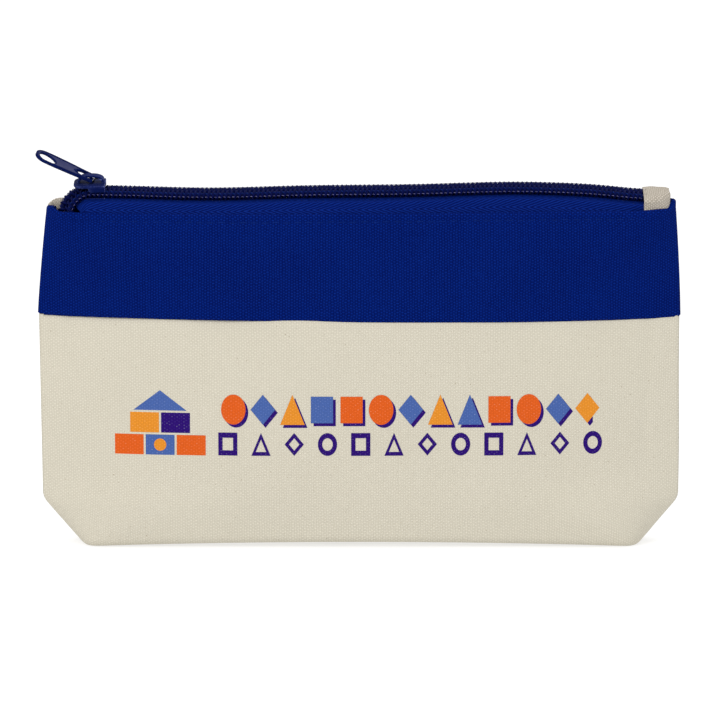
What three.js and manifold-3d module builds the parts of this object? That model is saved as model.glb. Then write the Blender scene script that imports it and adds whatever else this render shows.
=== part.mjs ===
// A zipped canvas pencil case with boxed bottom corners. Millimetres, +Z up.
// +X runs along the zip from its closed end to its open end, +Y points to the back.
// The origin is the middle of the base, on the surface that the case stands on.

import * as THREE from 'three';
import { mergeVertices } from 'three/addons/utils/BufferGeometryUtils.js';
import Module from 'manifold-3d';

const wasm = await Module();
wasm.setup();

// Cloth
const CANVAS = 0.9;
const TAPE = 0.5;
const GAP = 0.3;
const SEAM_Y = 0.6;              // from the side seam to the middle of each panel's cloth

// Outline of the body, half widths at the middle of the cloth
const BASE_HALF = 92.6;
const CORNER_HEIGHT = 15;
const CORNER_HALF = 106.4;
const BODY_HALF = 107.1;
const BAND_HALF = 107.6;
const TOP_HALF = 105.7;
const BAND_BOTTOM = 77;
const MOUTH_HEIGHT = 113.4;      // where the bands are drawn in to their narrowest
const FRONT_TOP = 112;
const BACK_TOP = 115.2;
const RISE_START = 99;           // the front band's top edge rises to meet the back one from here
const RISE_END = 104.5;
const BAND_PROUD = 0.6;

// Depth of each wall in front of or behind the side seams
const BULGE_DEPTH = 15.1;
const BULGE_HEIGHT = 35;
const TOP_DEPTH = 6.4;

// Power of the rounded plan: nearly a rectangle at the boxed base and at the zip's ends
const SIDE_POWER = 2.6;
const BASE_POWER = 57;
const BASE_FADE = 5;
const MOUTH_POWER = 27;
const MOUTH_FADE = 7;

// Zip: the tapes and coils lie in a plane that is rolled towards the front
const ZIP_HEIGHT = 117.6;
const ZIP_ROLL = THREE.MathUtils.degToRad(20);
const END_ROLL = THREE.MathUtils.degToRad(60);
const CURL_X = -91.3;            // where the chain starts to curl down at its closed end
const CURL_RADIUS = 8;
const CURL_LENGTH = 10.4;
const CURL_FORWARD = 1.5;
const CHAIN_END = 99;
const TAPE_START = -4.2;         // along the chain from CURL_X
const TAPE_HALF = 5.6;
const TAPE_EDGE = 0.7;
const TAPE_FOOT = 106.5;
const COIL_IN = 0.65;
const COIL_OUT = 2.9;
const COIL_LOW = 0.55;
const COIL_HIGH = 2.75;
const CORD_RADIUS = 0.4;
const STITCH_RADIUS = 0.2;

// Canvas tabs at the zip's ends
const TAB_LEFT = 95.7;
const TAB_RIGHT = 104.2;
const TAB_WIDE = 5.2;            // half the width of the saddle over the chain
const TAB_HIGH = 3.75;
const TAB_END_HIGH = 2.4;
const TAB_FOOT = 109.5;
const STUB_LEFT = -103.8;
const STUB_WIDTH = 6.6;
const STUB_THICKNESS = 1.6;
const STUB_BACK = 3;
const STUB_LOW = 111;
const STUB_HIGH = 117.6;
const STUB_ROUND = 2.6;

// Slider, about its own middle, with its heights above the middle of the tapes
const SLIDER_X = -89.2;
const NOSE = -5.3;
const REAR = 5.3;
const FLANGE_FRONT = -1.9;
const PLATE_LOW = 3.1;
const PLATE_HIGH = 4;
const FLANGE_LOW = 1.8;
const FLANGE_IN = 3.8;
const BOTTOM_LOW = -1.35;
const BOTTOM_HIGH = -0.6;
const POST_HALF = 0.35;
const NOSE_HALF = 1.6;
const WIDE_HALF = 4.5;
const WIDE_FROM = -2.6;
const REAR_HALF = 4.1;
const PIVOT_X = 0.4;
const PIVOT_HEIGHT = 5.5;
const BRIDGE_HALF = 1.3;
const BRIDGE_SPAN = 4.1;
const BRIDGE_HIGH = 7.3;
const BRIDGE_WIRE = 0.9;
const PULL_ANGLE = THREE.MathUtils.degToRad(31.6);
const PULL_LENGTH = 22.1;
const PULL_HALF = 3.75;
const PULL_THICKNESS = 1;
const EYE_HALF = 1.75;
const EYE_WALL = 0.85;
const EYE_LENGTH = 5;
const BAR_HALF = 0.5;
const DROP_LENGTH = 6.4;
const DROP_RIM = 1.2;

const cloths = {
  natural: new THREE.MeshStandardMaterial({ color: 0xd9d3c3, roughness: 0.95 }),
  blue: new THREE.MeshStandardMaterial({ color: 0x051d6a, roughness: 0.9 }),
  tape: new THREE.MeshStandardMaterial({ color: 0x081f66, roughness: 0.8 }),
};
const threads = {
  blue: new THREE.MeshStandardMaterial({ color: 0x0a1f72, roughness: 0.7 }),
  natural: new THREE.MeshStandardMaterial({ color: 0xe4dfd0, roughness: 0.8 }),
};
const nylon = new THREE.MeshStandardMaterial({ color: 0x0a133f, roughness: 0.4 });
const paint = new THREE.MeshStandardMaterial({ color: 0x22315c, roughness: 0.35, metalness: 0.5 });
const steel = new THREE.MeshStandardMaterial({ color: 0x8a8d92, roughness: 0.35, metalness: 1 });

const pencilCase = new THREE.Group();

function piece(name, geometry, material, parent = pencilCase) {
  const mesh = new THREE.Mesh(geometry, material);
  mesh.name = name;
  parent.add(mesh);
  return mesh;
}

function blend(from, to, start, end, x) {
  return from + (to - from) * THREE.MathUtils.smoothstep(x, start, end);
}

// Moves every vertex of a geometry to where the function puts it
function warp(geometry, place) {
  const points = geometry.attributes.position;
  for (let i = 0; i < points.count; i++) {
    const moved = place(points.getX(i), points.getY(i), points.getZ(i));
    points.setXYZ(i, moved.x, moved.y, moved.z);
  }
  return geometry;
}

// A closed sheet of cloth of even thickness. place(u, v) is its middle surface, with u and v in 0..1
function cloth(across, along, thickness, place) {
  const step = 1e-4;
  return warp(new THREE.BoxGeometry(1, 1, 1, across, along, 1), (x, y, side) => {
    const u = x + 0.5;
    const v = y + 0.5;
    const du = place(Math.min(u + step, 1), v).sub(place(Math.max(u - step, 0), v));
    const dv = place(u, Math.min(v + step, 1)).sub(place(u, Math.max(v - step, 0)));
    const normal = du.cross(dv).normalize();
    return place(u, v).addScaledVector(normal, side * thickness);
  });
}

function solid(geometry) {
  const bare = geometry.clone();
  bare.deleteAttribute('normal');
  bare.deleteAttribute('uv');
  const merged = mergeVertices(bare, 1e-4);
  return new wasm.Manifold(new wasm.Mesh({
    numProp: 3,
    vertProperties: new Float32Array(merged.attributes.position.array),
    triVerts: new Uint32Array(merged.index.array),
  }));
}

function toGeometry(manifold) {
  const mesh = manifold.getMesh();
  const geometry = new THREE.BufferGeometry();
  geometry.setAttribute('position', new THREE.BufferAttribute(mesh.vertProperties, 3));
  geometry.setIndex(new THREE.BufferAttribute(mesh.triVerts, 1));
  geometry.computeVertexNormals();
  return geometry;
}

function block(low, high) {
  const size = high.map((value, i) => value - low[i]);
  const geometry = new THREE.BoxGeometry(...size);
  return geometry.translate(...low.map((value, i) => value + size[i] / 2));
}

// --- The body: its width, depth and squareness at each height ---

function bodyHalf(z) {
  const corner = BASE_HALF + (CORNER_HALF - BASE_HALF) * z / CORNER_HEIGHT;
  const side = CORNER_HALF + (BODY_HALF - CORNER_HALF) * (z - CORNER_HEIGHT) / (BAND_BOTTOM - CORNER_HEIGHT);
  const soft = 1.5;
  const mix = THREE.MathUtils.clamp(0.5 + (side - corner) / (2 * soft), 0, 1);
  return side + (corner - side) * mix - soft * mix * (1 - mix);
}

function bandHalf(z) {
  const rise = Math.max(z - BAND_BOTTOM, 0) / (MOUTH_HEIGHT - BAND_BOTTOM);
  return BAND_HALF - (BAND_HALF - TOP_HALF) * rise ** 1.5;
}

function wallDepth(z) {
  const away = (z - BULGE_HEIGHT) / (MOUTH_HEIGHT - BULGE_HEIGHT);
  return BULGE_DEPTH - (BULGE_DEPTH - TOP_DEPTH) * away ** 2;
}

function squareness(z) {
  const base = BASE_POWER * Math.exp(-z / BASE_FADE);
  const mouth = MOUTH_POWER * Math.exp((z - MOUTH_HEIGHT) / MOUTH_FADE);
  return SIDE_POWER + base + mouth;
}

function wallY(x, z, half) {
  const share = Math.min(Math.abs(x) / half, 1);
  return SEAM_Y + wallDepth(z) * (1 - share ** squareness(z));
}

function clusteredAtEnds(u) {
  return Math.sin((u - 0.5) * Math.PI);
}

// --- Lower panels: a wall and half of the base, sewn at the corner seams ---

const PANEL_STEPS = 30;
const PANEL_HEIGHTS = [0, 1.5, 4, 7, 10, 13, 16, 20, 28, 38, 50, 63, BAND_BOTTOM - GAP];

function heightAt(v) {
  const row = Math.min(Math.floor(v * (PANEL_HEIGHTS.length - 1)), PANEL_HEIGHTS.length - 2);
  const part = v * (PANEL_HEIGHTS.length - 1) - row;
  return PANEL_HEIGHTS[row] + (PANEL_HEIGHTS[row + 1] - PANEL_HEIGHTS[row]) * part;
}

function basePanel(side) {
  const outline = new THREE.Shape();
  outline.moveTo(-BASE_HALF, side * GAP / 2);
  for (let i = 0; i <= PANEL_STEPS; i++) {
    const x = BASE_HALF * clusteredAtEnds(i / PANEL_STEPS);
    outline.lineTo(x, side * wallY(x, 0, BASE_HALF));
  }
  outline.lineTo(BASE_HALF, side * GAP / 2);
  return new THREE.ExtrudeGeometry(outline, { depth: CANVAS, bevelEnabled: false });
}

function lowerPanel(side) {
  const wall = cloth(PANEL_STEPS, PANEL_HEIGHTS.length - 1, CANVAS, (u, v) => {
    const z = heightAt(v);
    const x = bodyHalf(z) * clusteredAtEnds(u);
    return new THREE.Vector3(x, side * wallY(x, z, bodyHalf(z)), z);
  });
  const levelled = warp(wall, (x, y, z) => new THREE.Vector3(x, y, z < 1 ? 0 : z));
  return toGeometry(solid(levelled).add(solid(basePanel(side))));
}

piece('front_lower_panel', lowerPanel(-1), cloths.natural);
piece('back_lower_panel', lowerPanel(1), cloths.natural);

// --- Bands ---

function topEdge(side, x) {
  return side > 0 ? BACK_TOP : blend(FRONT_TOP, BACK_TOP, RISE_START, RISE_END, Math.abs(x));
}

function bandPlace(side, share, z, proud) {
  const x = bandHalf(z) * share;
  const depth = wallY(x, z, bandHalf(z)) + proud * (1 - share ** 8);
  return new THREE.Vector3(x, side * depth, z);
}

function band(side) {
  return cloth(28, 7, CANVAS, (u, v) => {
    const share = clusteredAtEnds(u);
    const top = topEdge(side, TOP_HALF * share);
    return bandPlace(side, share, BAND_BOTTOM + (top - BAND_BOTTOM) * v, BAND_PROUD);
  });
}

piece('front_band', band(-1), cloths.blue);
piece('back_band', band(1), cloths.blue);

// --- Threads and overlocked seam edges ---

const STITCH_DROP = 2.4;
const STITCH_HALF = 97.25;
const THREAD_WIDTH = 0.5;
const THREAD_THICKNESS = 0.35;
const EDGE_THICKNESS = 1.4;
const BAND_EDGE_THICKNESS = 1.2;
const BAND_EDGE_HALF = 96.84;
const BAND_EDGE_HEIGHT = 7;
const SIDE_EDGE_LOW = 20;
const SIDE_EDGE_HIGH = 108;
const SIDE_EDGE_IN = 11;         // from the side seam to the strip's inner edge
const EDGE_WIDTH = 5.5;

function topStitch(side) {
  return cloth(28, 1, THREAD_THICKNESS, (u, v) => {
    const x = STITCH_HALF * clusteredAtEnds(u);
    const z = topEdge(side, x) - STITCH_DROP + THREAD_WIDTH * (v - 0.5);
    const depth = wallY(x, z, bandHalf(z)) + BAND_PROUD + CANVAS / 2 + GAP + 0.2;
    return new THREE.Vector3(x, side * depth, z);
  });
}

function bandSeamEdge(side) {
  return cloth(24, 1, BAND_EDGE_THICKNESS, (u, v) => {
    const z = BAND_BOTTOM + BAND_EDGE_HEIGHT * v;
    const x = BAND_EDGE_HALF * clusteredAtEnds(u);
    return new THREE.Vector3(x, side * (wallY(x, z, bodyHalf(z)) - CANVAS / 2 - GAP - 0.8), z);
  });
}

function sideSeamEdge(side) {
  return cloth(1, 10, EDGE_THICKNESS, (u, v) => {
    const z = SIDE_EDGE_LOW + (SIDE_EDGE_HIGH - SIDE_EDGE_LOW) * v;
    const half = z < BAND_BOTTOM ? bodyHalf(z) : bandHalf(z);
    return new THREE.Vector3(side * (half - SIDE_EDGE_IN + EDGE_WIDTH * u), 0, z);
  });
}

piece('topstitch_front', topStitch(-1), threads.blue);
piece('topstitch_back', topStitch(1), threads.blue);
piece('band_seam_overlock_front', bandSeamEdge(-1), threads.natural);
piece('band_seam_overlock_back', bandSeamEdge(1), threads.natural);
piece('side_seam_overlock_left', sideSeamEdge(-1), threads.natural);
piece('side_seam_overlock_right', sideSeamEdge(1), threads.natural);

const BOTTOM_EDGE_HALF = 82;
const CORNER_EDGE_X = 86;
const CORNER_EDGE_HALF = 6;
const EDGE_MIDDLE = CANVAS + GAP + EDGE_THICKNESS / 2;

// A straight strip on the base: size along x and y
function baseEdge(name, x, length, width) {
  const strip = new THREE.BoxGeometry(length, width, EDGE_THICKNESS);
  piece(name, strip.translate(x, 0, EDGE_MIDDLE), threads.natural);
}

baseEdge('bottom_seam_overlock', 0, 2 * BOTTOM_EDGE_HALF, 6);
baseEdge('corner_seam_overlock_left', -CORNER_EDGE_X, 5, 2 * CORNER_EDGE_HALF);
baseEdge('corner_seam_overlock_right', CORNER_EDGE_X, 5, 2 * CORNER_EDGE_HALF);

// --- The zip chain's own frame: s runs along it, y across it, z out of the tapes ---

function chainPoint(s, y, z) {
  const turn = Math.max(-s, 0) / CURL_RADIUS;
  const part = Math.max(-s, 0) / CURL_LENGTH;
  const roll = ZIP_ROLL + (END_ROLL - ZIP_ROLL) * part;
  const up = new THREE.Vector3(-Math.sin(turn), 0, Math.cos(turn));
  const across = new THREE.Vector3(0, Math.cos(roll), 0).addScaledVector(up, Math.sin(roll));
  const out = new THREE.Vector3(0, -Math.sin(roll), 0).addScaledVector(up, Math.cos(roll));
  const middle = new THREE.Vector3(
    CURL_X + Math.max(s, 0) - CURL_RADIUS * Math.sin(turn),
    -CURL_FORWARD * part,
    ZIP_HEIGHT - CURL_RADIUS * (1 - Math.cos(turn)),
  );
  return middle.addScaledVector(across, y).addScaledVector(out, z);
}

// Close steps in the curl, long steps along the straight, and close steps again under the right tab
const CURL_SHARE = 0.5;
const TAB_SHARE = 0.2;
const TAB_REACH = 12;

function alongChain(u, start) {
  const end = CHAIN_END - CURL_X;
  const underTab = end - TAB_REACH;
  const straightEnd = 1 - TAB_SHARE;
  if (u < CURL_SHARE) return start * (1 - u / CURL_SHARE);
  if (u < straightEnd) return underTab * (u - CURL_SHARE) / (straightEnd - CURL_SHARE);
  return underTab + TAB_REACH * (u - straightEnd) / TAB_SHARE;
}

// Room that the mouth of the bands leaves inside, to the middle of a cloth lying against it
function mouthY(x, z, layers) {
  return wallY(x, z, bandHalf(z)) - CANVAS / 2 - GAP - layers;
}

// The tape lies flat under its coil, then turns down against the inside of the band
function zipTape(side) {
  const shoulder = 0.4;
  return cloth(20, 6, TAPE, (u, v) => {
    const s = alongChain(u, TAPE_START);
    const x = chainPoint(s, 0, 0).x;
    const under = blend(TAPE / 2, TAPE / 2 + CANVAS + 2 * GAP, TAB_LEFT - 8, TAB_LEFT - 2, x);
    const reach = Math.min(TAPE_HALF, mouthY(x, MOUTH_HEIGHT, under) / Math.cos(ZIP_ROLL));
    const flat = Math.min(v / shoulder, 1);
    const edge = chainPoint(s, side * (TAPE_EDGE + (reach - TAPE_EDGE) * flat), 0);
    if (v <= shoulder) return edge;
    const down = (v - shoulder) / (1 - shoulder);
    const z = edge.z + (TAPE_FOOT - edge.z) * down;
    const inside = side * mouthY(edge.x, Math.min(z, MOUTH_HEIGHT), under);
    return new THREE.Vector3(edge.x, blend(edge.y, inside, 0, 0.4, down), z);
  });
}

function chainTube(outline, steps, start) {
  const geometry = new THREE.ExtrudeGeometry(outline, {
    depth: 1,
    steps,
    bevelEnabled: false,
    curveSegments: 4,
  });
  return warp(geometry, (y, z, u) => chainPoint(alongChain(u, start), y, z));
}

function rectangle(low, high) {
  const outline = new THREE.Shape();
  outline.moveTo(low.x, low.y);
  outline.lineTo(high.x, low.y);
  outline.lineTo(high.x, high.y);
  outline.lineTo(low.x, high.y);
  outline.closePath();
  return outline;
}

for (const [name, side] of [['front', -1], ['back', 1]]) {
  const middle = new THREE.Vector2(side * (COIL_IN + COIL_OUT) / 2, (COIL_LOW + COIL_HIGH) / 2);
  const half = new THREE.Vector2((COIL_OUT - COIL_IN) / 2, (COIL_HIGH - COIL_LOW) / 2);
  const coil = rectangle(middle.clone().sub(half), middle.clone().add(half));
  coil.holes.push(new THREE.Path().absarc(middle.x, middle.y, CORD_RADIUS + GAP, 0, 2 * Math.PI));
  const cord = new THREE.Shape().absarc(middle.x, middle.y, CORD_RADIUS, 0, 2 * Math.PI);
  const threadY = side * (COIL_OUT + GAP + STITCH_RADIUS);
  const thread = rectangle(
    new THREE.Vector2(threadY - STITCH_RADIUS, COIL_LOW),
    new THREE.Vector2(threadY + STITCH_RADIUS, COIL_LOW + 2 * STITCH_RADIUS),
  );
  piece(`zip_tape_${name}`, zipTape(side), cloths.tape);
  piece(`zip_coil_${name}`, chainTube(coil, 20, -CURL_LENGTH), nylon);
  piece(`coil_cord_${name}`, chainTube(cord, 20, -CURL_LENGTH), threads.blue);
  piece(`coil_stitching_${name}`, chainTube(thread, 20, TAPE_START), threads.blue);
}

// --- Canvas tabs ---

// A saddle over the end of the chain, with its two legs down inside the bands
function rightTab() {
  const arch = 0.6;
  return cloth(5, 14, CANVAS, (u, v) => {
    const x = TAB_LEFT + (TAB_RIGHT - TAB_LEFT) * u;
    const room = mouthY(x, MOUTH_HEIGHT, CANVAS / 2 + GAP);
    const half = Math.min(room / Math.cos(ZIP_ROLL), TAB_WIDE);
    const across = 1 - 2 * v;
    const angle = Math.min(Math.abs(across) / arch, 1) * Math.PI / 2;
    const side = Math.sign(across);
    const high = blend(TAB_HIGH, TAB_END_HIGH, 0.6, 1, u);
    const over = chainPoint(
      x - CURL_X,
      side * half * Math.sqrt(Math.sin(angle)),
      high * Math.sqrt(Math.max(Math.cos(angle), 0)),
    );
    if (Math.abs(across) <= arch) return over;
    const down = (Math.abs(across) - arch) / (1 - arch);
    const z = over.z + (TAB_FOOT - over.z) * down;
    const inside = mouthY(x, Math.min(z, MOUTH_HEIGHT), CANVAS / 2 + GAP);
    return new THREE.Vector3(x, side * blend(Math.abs(over.y), inside, 0, 0.5, down), z);
  });
}

// A folded tab that stands behind the curled end of the chain
function leftTab() {
  return cloth(6, 4, STUB_THICKNESS, (u, v) => {
    const x = STUB_LEFT + STUB_WIDTH * u;
    const high = STUB_HIGH - STUB_ROUND * (1 - u) ** 3;
    const back = Math.min(STUB_BACK, mouthY(x, STUB_LOW, GAP));
    return new THREE.Vector3(x, back - STUB_THICKNESS / 2, STUB_LOW + (high - STUB_LOW) * v);
  });
}

piece('zip_tab_right', rightTab(), cloths.natural);
piece('zip_tab_left', leftTab(), cloths.natural);

// --- Slider ---

const slider = new THREE.Group();
slider.position.set(SLIDER_X, 0, ZIP_HEIGHT);
slider.rotation.x = ZIP_ROLL;
pencilCase.add(slider);

// Its plan: a round nose, wide where the two coils part and narrower at the rear
function sliderPlan(low, high) {
  const plan = new THREE.Shape();
  plan.moveTo(REAR, -REAR_HALF);
  plan.lineTo(REAR, REAR_HALF);
  plan.lineTo(0, WIDE_HALF);
  plan.lineTo(WIDE_FROM, WIDE_HALF);
  plan.quadraticCurveTo(NOSE, REAR_HALF, NOSE, NOSE_HALF);
  plan.lineTo(NOSE, -NOSE_HALF);
  plan.quadraticCurveTo(NOSE, -REAR_HALF, WIDE_FROM, -WIDE_HALF);
  plan.lineTo(0, -WIDE_HALF);
  plan.closePath();
  const geometry = new THREE.ExtrudeGeometry(plan, {
    depth: high - low,
    bevelEnabled: false,
    curveSegments: 5,
  });
  return geometry.translate(0, 0, low);
}

function sliderBody() {
  const beyond = 9;
  const room = block([-beyond, -FLANGE_IN, -beyond], [beyond, FLANGE_IN, PLATE_LOW]);
  const openNose = block([-beyond, -beyond, -beyond], [FLANGE_FRONT, beyond, PLATE_LOW]);
  const post = block([FLANGE_FRONT, -POST_HALF, BOTTOM_HIGH - 0.2], [1, POST_HALF, PLATE_LOW + 0.2]);
  const top = solid(sliderPlan(FLANGE_LOW, PLATE_HIGH)).subtract(solid(room)).subtract(solid(openNose));
  const bottom = solid(sliderPlan(BOTTOM_LOW, BOTTOM_HIGH)).subtract(solid(openNose));
  return toGeometry(top.add(bottom).add(solid(post)));
}

// An arch of flat wire with a short foot behind it
function sliderBridge() {
  const low = PLATE_HIGH + GAP;
  const side = new THREE.Shape();
  const inner = BRIDGE_SPAN - BRIDGE_WIRE;
  const innerHigh = BRIDGE_HIGH - BRIDGE_WIRE;
  side.moveTo(-BRIDGE_SPAN, low);
  side.bezierCurveTo(-BRIDGE_SPAN, BRIDGE_HIGH - 0.6, -2.6, BRIDGE_HIGH, -0.8, BRIDGE_HIGH);
  side.lineTo(0.8, BRIDGE_HIGH);
  side.bezierCurveTo(2.6, BRIDGE_HIGH, BRIDGE_SPAN, BRIDGE_HIGH - 0.6, BRIDGE_SPAN, low + 1);
  side.lineTo(REAR - PIVOT_X, low + 1);
  side.lineTo(REAR - PIVOT_X, low);
  side.lineTo(inner, low);
  side.bezierCurveTo(inner, innerHigh - 0.5, 2, innerHigh, 0.6, innerHigh);
  side.lineTo(-0.6, innerHigh);
  side.bezierCurveTo(-2, innerHigh, -inner, innerHigh - 0.5, -inner, low);
  side.closePath();
  const geometry = new THREE.ExtrudeGeometry(side, {
    depth: 2 * BRIDGE_HALF,
    bevelEnabled: false,
    curveSegments: 8,
  });
  geometry.translate(PIVOT_X, 0, -BRIDGE_HALF);
  return geometry.rotateX(Math.PI / 2);
}

// The pull tab lies along -X from its pivot bar, with an eye round the bridge and a drop-shaped hole
function pullTab() {
  const eyeHalf = EYE_HALF + EYE_WALL;
  const plan = new THREE.Shape();
  plan.moveTo(-BAR_HALF, -eyeHalf);
  plan.bezierCurveTo(4, -eyeHalf, 6, -PULL_HALF, 12, -PULL_HALF);
  plan.lineTo(PULL_LENGTH - PULL_HALF, -PULL_HALF);
  plan.absarc(PULL_LENGTH - PULL_HALF, 0, PULL_HALF, -Math.PI / 2, Math.PI / 2);
  plan.lineTo(12, PULL_HALF);
  plan.bezierCurveTo(6, PULL_HALF, 4, eyeHalf, -BAR_HALF, eyeHalf);
  plan.closePath();
  const eye = rectangle(new THREE.Vector2(BAR_HALF, -EYE_HALF), new THREE.Vector2(EYE_LENGTH, EYE_HALF));
  const drop = new THREE.Path();
  const dropX = PULL_LENGTH - PULL_HALF;
  const dropRadius = PULL_HALF - DROP_RIM;
  drop.moveTo(dropX - DROP_LENGTH, 0);
  drop.quadraticCurveTo(dropX - 3, -dropRadius, dropX, -dropRadius);
  drop.absarc(dropX, 0, dropRadius, -Math.PI / 2, Math.PI / 2);
  drop.quadraticCurveTo(dropX - 3, dropRadius, dropX - DROP_LENGTH, 0);
  plan.holes.push(eye, drop);
  const geometry = new THREE.ExtrudeGeometry(plan, {
    depth: PULL_THICKNESS,
    bevelEnabled: false,
    curveSegments: 8,
  });
  geometry.translate(0, 0, -PULL_THICKNESS / 2);
  return geometry.rotateZ(Math.PI);
}

piece('slider_body', sliderBody(), paint, slider);
piece('slider_bridge', sliderBridge(), paint, slider);
const spring = block(
  [PIVOT_X - 2.6, -0.8, PLATE_HIGH + GAP],
  [PIVOT_X + 2.6, 0.8, PLATE_HIGH + GAP + 0.3],
);
piece('slider_lock_spring', spring, steel, slider);
const pull = piece('pull_tab', pullTab(), paint, slider);
pull.position.set(PIVOT_X, 0, PIVOT_HEIGHT);
pull.rotation.y = PULL_ANGLE;

export default pencilCase;
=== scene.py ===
"""A zipped canvas pencil case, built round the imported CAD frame. Shapes are worked out in millimetres
in the row frame (+X along the zip, +Y to the back, +Z up) and written to Blender in metres."""

import math

import bpy
import numpy as np
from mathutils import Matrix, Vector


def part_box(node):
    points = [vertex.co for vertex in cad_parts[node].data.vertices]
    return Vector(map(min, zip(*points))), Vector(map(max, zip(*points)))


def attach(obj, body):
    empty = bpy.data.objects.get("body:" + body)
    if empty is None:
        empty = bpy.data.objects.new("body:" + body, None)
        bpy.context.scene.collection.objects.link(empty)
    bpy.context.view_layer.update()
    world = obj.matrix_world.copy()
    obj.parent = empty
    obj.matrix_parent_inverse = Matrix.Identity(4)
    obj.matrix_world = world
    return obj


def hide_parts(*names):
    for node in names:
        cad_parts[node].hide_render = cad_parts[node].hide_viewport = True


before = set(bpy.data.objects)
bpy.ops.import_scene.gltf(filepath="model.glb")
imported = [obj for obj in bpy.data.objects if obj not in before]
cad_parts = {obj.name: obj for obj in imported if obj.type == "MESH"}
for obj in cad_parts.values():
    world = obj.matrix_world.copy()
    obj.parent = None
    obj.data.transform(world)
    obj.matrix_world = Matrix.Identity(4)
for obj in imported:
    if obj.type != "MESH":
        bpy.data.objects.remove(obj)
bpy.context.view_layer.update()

MM = 0.001
FRONT, BACK = -1, 1


def cad_box(node):
    low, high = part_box(node)
    return np.array(low) / MM, np.array(high) / MM


def linked(name, data):
    made = bpy.data.objects.new(name, data)
    bpy.context.collection.objects.link(made)
    return made


# --- Camera, lights and floor ---

SHOT_ELEVATION = math.radians(8)
SHOT_DISTANCE = 1.4
SHOT_WIDTH = 0.2424
SHOT_TARGET = (0.0003, 0, 0.0615)
SENSOR = 0.036
LIGHT_AIM = (0, 0, 0.06)
WORLD_STRENGTH = 1.0
FLOOR_HALF = 12
FLOOR_GLOW = 0.62                # keeps the thin gap under the base from going black


def make_camera():
    data = bpy.data.cameras.new("camera")
    data.lens = SENSOR * SHOT_DISTANCE / SHOT_WIDTH / MM
    camera = linked("camera", data)
    back = np.array([0, -math.cos(SHOT_ELEVATION), math.sin(SHOT_ELEVATION)])
    camera.location = np.array(SHOT_TARGET) + back * SHOT_DISTANCE
    camera.rotation_euler = (math.pi / 2 - SHOT_ELEVATION, 0, 0)
    bpy.context.scene.camera = camera


def make_light(name, place, size, power, colour):
    data = bpy.data.lights.new(name, "AREA")
    data.shape = "SQUARE"
    data.size = size
    data.energy = power
    data.color = colour
    light = linked(name, data)
    light.location = place
    aim = light.location.copy()
    aim.xyz = LIGHT_AIM
    light.rotation_euler = (aim - light.location).to_track_quat("-Z", "Y").to_euler()


def make_stage():
    world = bpy.data.worlds.new("studio")
    world.use_nodes = True
    background = world.node_tree.nodes["Background"]
    background.inputs["Color"].default_value = (1, 1, 1, 1)
    background.inputs["Strength"].default_value = WORLD_STRENGTH
    bpy.context.scene.world = world
    bpy.context.scene.view_settings.view_transform = "Standard"
    mesh = bpy.data.meshes.new("floor")
    corners = [(x * FLOOR_HALF, y * FLOOR_HALF, 0) for x, y in ((-1, -1), (1, -1), (1, 1), (-1, 1))]
    mesh.from_pydata(corners, [], [(0, 1, 2, 3)])
    floor = linked("floor", mesh)
    glow = {"emission_strength": FLOOR_GLOW, "emission_color": (1, 1, 1, 1)}
    paper = Surface("floor_paper", roughness=0.9, **glow)
    cloudy = paper.noise(paper.node("TexCoord").outputs["Object"], 3, 2)
    paper.link("Base Color", paper.mixed(cloudy, (0.38, 0.38, 0.38), (0.42, 0.42, 0.42)))
    floor.data.materials.append(paper.material)
    make_light("key", (-0.9, -1.5, 1.25), 1.0, 13, (1, 0.97, 0.93))
    make_light("fill", (1.5, -0.9, 0.7), 1.2, 2, (0.93, 0.96, 1))
    make_light("top", (0.1, 0.5, 1.8), 1.4, 6, (1, 1, 1))


# --- Materials ---


def linear(red, green, blue):
    """Display values 0..255 as linear light."""
    parts = [c / 255 for c in (red, green, blue)]
    return tuple(c / 12.92 if c <= 0.04045 else ((c + 0.055) / 1.055) ** 2.4 for c in parts)


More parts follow.
